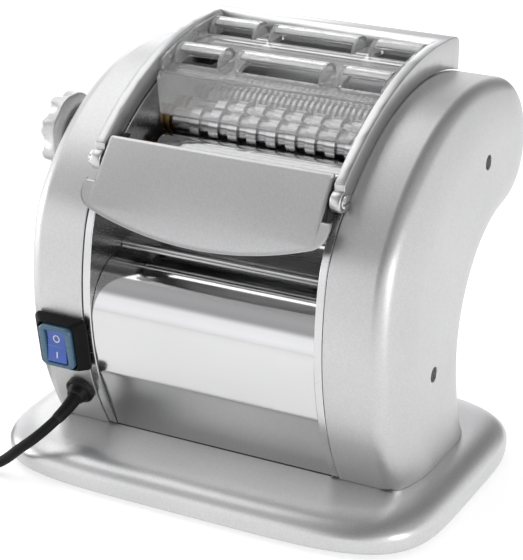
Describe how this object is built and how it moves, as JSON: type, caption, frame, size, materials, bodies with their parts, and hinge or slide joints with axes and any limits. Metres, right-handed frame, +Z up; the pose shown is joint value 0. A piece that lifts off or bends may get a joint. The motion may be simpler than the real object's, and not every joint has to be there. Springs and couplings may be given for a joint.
{
  "type": "electric pasta maker",
  "caption": "Electric pasta maker with smooth rollers, two noodle cutters, a geared motor drive, a hinged clear guard, a thickness knob and a mains switch.",
  "frame": {"origin": "bottom centre of the machine without its free cord, on the table under the rubber feet", "axes": "+X to the right of someone facing the machine, -Y towards that person (the switch and the noodle outlet face -Y), +Z up"},
  "size_m": [0.4267, 0.2466, 0.253],
  "materials": {
    "painted_grey": "satin metallic grey",
    "painted_silver": "satin metallic silver",
    "polished_steel": "polished",
    "brushed": "brushed",
    "machined": "machined",
    "zinc": "zinc plated",
    "alloy": "satin",
    "bronze": "sintered",
    "black_rubber": "matt",
    "black_plastic": "fine texture",
    "gear_plastic": "moulded",
    "clear_plastic": "clear moulded plastic",
    "blue_grey_plastic": "glossy",
    "blue_plastic": "glossy",
    "silver_plastic": "satin silver",
    "motor_black": "satin"
  },
  "bodies": {
    "chassis": {"base_shell": "painted_grey", "base_plate": "zinc", "rubber_feet": "black_rubber", "foot_screws": "zinc", "left_side_plate": "polished_steel", "right_side_plate": "polished_steel", "tie_bars": "machined", "tie_bar_screws": "zinc", "left_cover": "painted_grey", "right_cover": "painted_grey", "cover_screws": "polished_steel", "front_panel": "polished_steel", "rear_panel": "brushed", "pasta_slide": "brushed", "visor": "painted_silver", "hinge_brackets": "machined", "guard_pivots": "machined", "reed_switch": "black_plastic", "roller_bushes": "bronze", "roller_scrapers": "brushed", "cutter_bushes": "bronze", "wide_combs": "brushed", "fine_combs": "brushed", "idler_pins": "machined", "motor": "motor_black", "motor_pillars": "machined", "knob_bush": "black_plastic", "switch_boot": "black_rubber", "switch_frame": "blue_grey_plastic", "cord_gland": "black_plastic", "cord": "black_rubber", "cord_coil": "black_rubber", "plug": "black_plastic"},
    "guard": {"guard_frame": "alloy", "clear_guard": "clear_plastic", "guard_rivets": "machined", "guard_magnet": "black_plastic"},
    "front_roller_unit": {"front_roller": "polished_steel", "front_mesh_gear": "machined", "roller_drive_gear": "gear_plastic"},
    "carriage": {"bearing_blocks": "bronze"},
    "rear_roller_unit": {"rear_roller": "polished_steel", "rear_mesh_gear": "machined"},
    "wide_front_unit": {"wide_cutter_front": "brushed", "cutter_drive_gear": "gear_plastic", "wide_gear_front": "gear_plastic"},
    "wide_rear_unit": {"wide_cutter_rear": "brushed", "wide_gear_rear": "gear_plastic"},
    "fine_front_unit": {"fine_cutter_front": "brushed", "fine_gear_front": "gear_plastic"},
    "fine_rear_unit": {"fine_cutter_rear": "brushed", "fine_gear_rear": "gear_plastic"},
    "lower_idler": {"lower_idler_gear": "gear_plastic"},
    "upper_idler": {"upper_idler_gear": "gear_plastic"},
    "cutter_idler_a": {"cutter_idler_front": "gear_plastic"},
    "cutter_idler_b": {"cutter_idler_rear": "gear_plastic"},
    "motor_rotor": {"motor_shaft": "machined"},
    "knob": {"thickness_knob": "silver_plastic", "knob_spindle": "machined"},
    "rocker": {"switch_rocker": "blue_plastic"}
  },
  "joints": [
    {"name": "guard_hinge", "type": "hinge", "parent": "chassis", "child": "guard", "pos_m": [0, -0.0703, 0.1963], "axis": [1, 0, 0], "range_deg": [0, 80]},
    {"name": "front_roller_spin", "type": "hinge", "parent": "chassis", "child": "front_roller_unit", "pos_m": [0, -0.045, 0.181], "axis": [1, 0, 0], "continuous": true},
    {"name": "knob_turn", "type": "hinge", "parent": "chassis", "child": "knob", "pos_m": [-0.11, -0.0193, 0.1895], "axis": [1, 0, 0], "range_deg": [0, 150]},
    {"name": "roller_gap", "type": "slide", "parent": "chassis", "child": "carriage", "axis": [0, -1, 0], "range_m": [0, 0.0026]},
    {"name": "rear_roller_spin", "type": "hinge", "parent": "carriage", "child": "rear_roller_unit", "pos_m": [0, -0.0121, 0.181], "axis": [1, 0, 0], "continuous": true},
    {"name": "wide_front_spin", "type": "hinge", "parent": "chassis", "child": "wide_front_unit", "pos_m": [0, 0.006, 0.2], "axis": [1, 0, 0], "continuous": true},
    {"name": "wide_rear_spin", "type": "hinge", "parent": "chassis", "child": "wide_rear_unit", "pos_m": [0, 0.02475, 0.2], "axis": [1, 0, 0], "continuous": true},
    {"name": "fine_front_spin", "type": "hinge", "parent": "chassis", "child": "fine_front_unit", "pos_m": [0, 0.05, 0.2], "axis": [1, 0, 0], "continuous": true},
    {"name": "fine_rear_spin", "type": "hinge", "parent": "chassis", "child": "fine_rear_unit", "pos_m": [0, 0.06875, 0.2], "axis": [1, 0, 0], "continuous": true},
    {"name": "upper_idler_spin", "type": "hinge", "parent": "chassis", "child": "upper_idler", "pos_m": [0.0935, -0.00689, 0.16003], "axis": [1, 0, 0], "continuous": true},
    {"name": "lower_idler_spin", "type": "hinge", "parent": "chassis", "child": "lower_idler", "pos_m": [0.0935, -0.003, 0.10917], "axis": [1, 0, 0], "continuous": true},
    {"name": "cutter_idler_a_spin", "type": "hinge", "parent": "chassis", "child": "cutter_idler_a", "pos_m": [-0.0835, 0.02863, 0.21771], "axis": [1, 0, 0], "continuous": true},
    {"name": "cutter_idler_b_spin", "type": "hinge", "parent": "chassis", "child": "cutter_idler_b", "pos_m": [-0.0835, 0.04612, 0.21771], "axis": [1, 0, 0], "continuous": true},
    {"name": "motor_spin", "type": "hinge", "parent": "chassis", "child": "motor_rotor", "pos_m": [0.075, -0.014, 0.0749], "axis": [1, 0, 0], "continuous": true},
    {"name": "power_rocker", "type": "hinge", "parent": "chassis", "child": "rocker", "pos_m": [-0.0933, -0.09679, 0.08463], "axis": [1, 0, 0], "range_deg": [0, 13]}
  ],
  "couplings": [
    {"joint": "knob_turn", "follows": "roller_gap", "rad_per_m": 1006.9},
    {"joint": "rear_roller_spin", "follows": "front_roller_spin", "ratio": -1},
    {"joint": "wide_front_spin", "follows": "front_roller_spin", "ratio": 1.1},
    {"joint": "wide_rear_spin", "follows": "front_roller_spin", "ratio": -1.1},
    {"joint": "fine_front_spin", "follows": "front_roller_spin", "ratio": 1.1},
    {"joint": "fine_rear_spin", "follows": "front_roller_spin", "ratio": -1.1},
    {"joint": "upper_idler_spin", "follows": "front_roller_spin", "ratio": -0.61111},
    {"joint": "lower_idler_spin", "follows": "front_roller_spin", "ratio": 0.6875},
    {"joint": "cutter_idler_a_spin", "follows": "front_roller_spin", "ratio": 1.1786},
    {"joint": "cutter_idler_b_spin", "follows": "front_roller_spin", "ratio": -1.1786},
    {"joint": "motor_spin", "follows": "front_roller_spin", "ratio": -1.375}
  ]
}
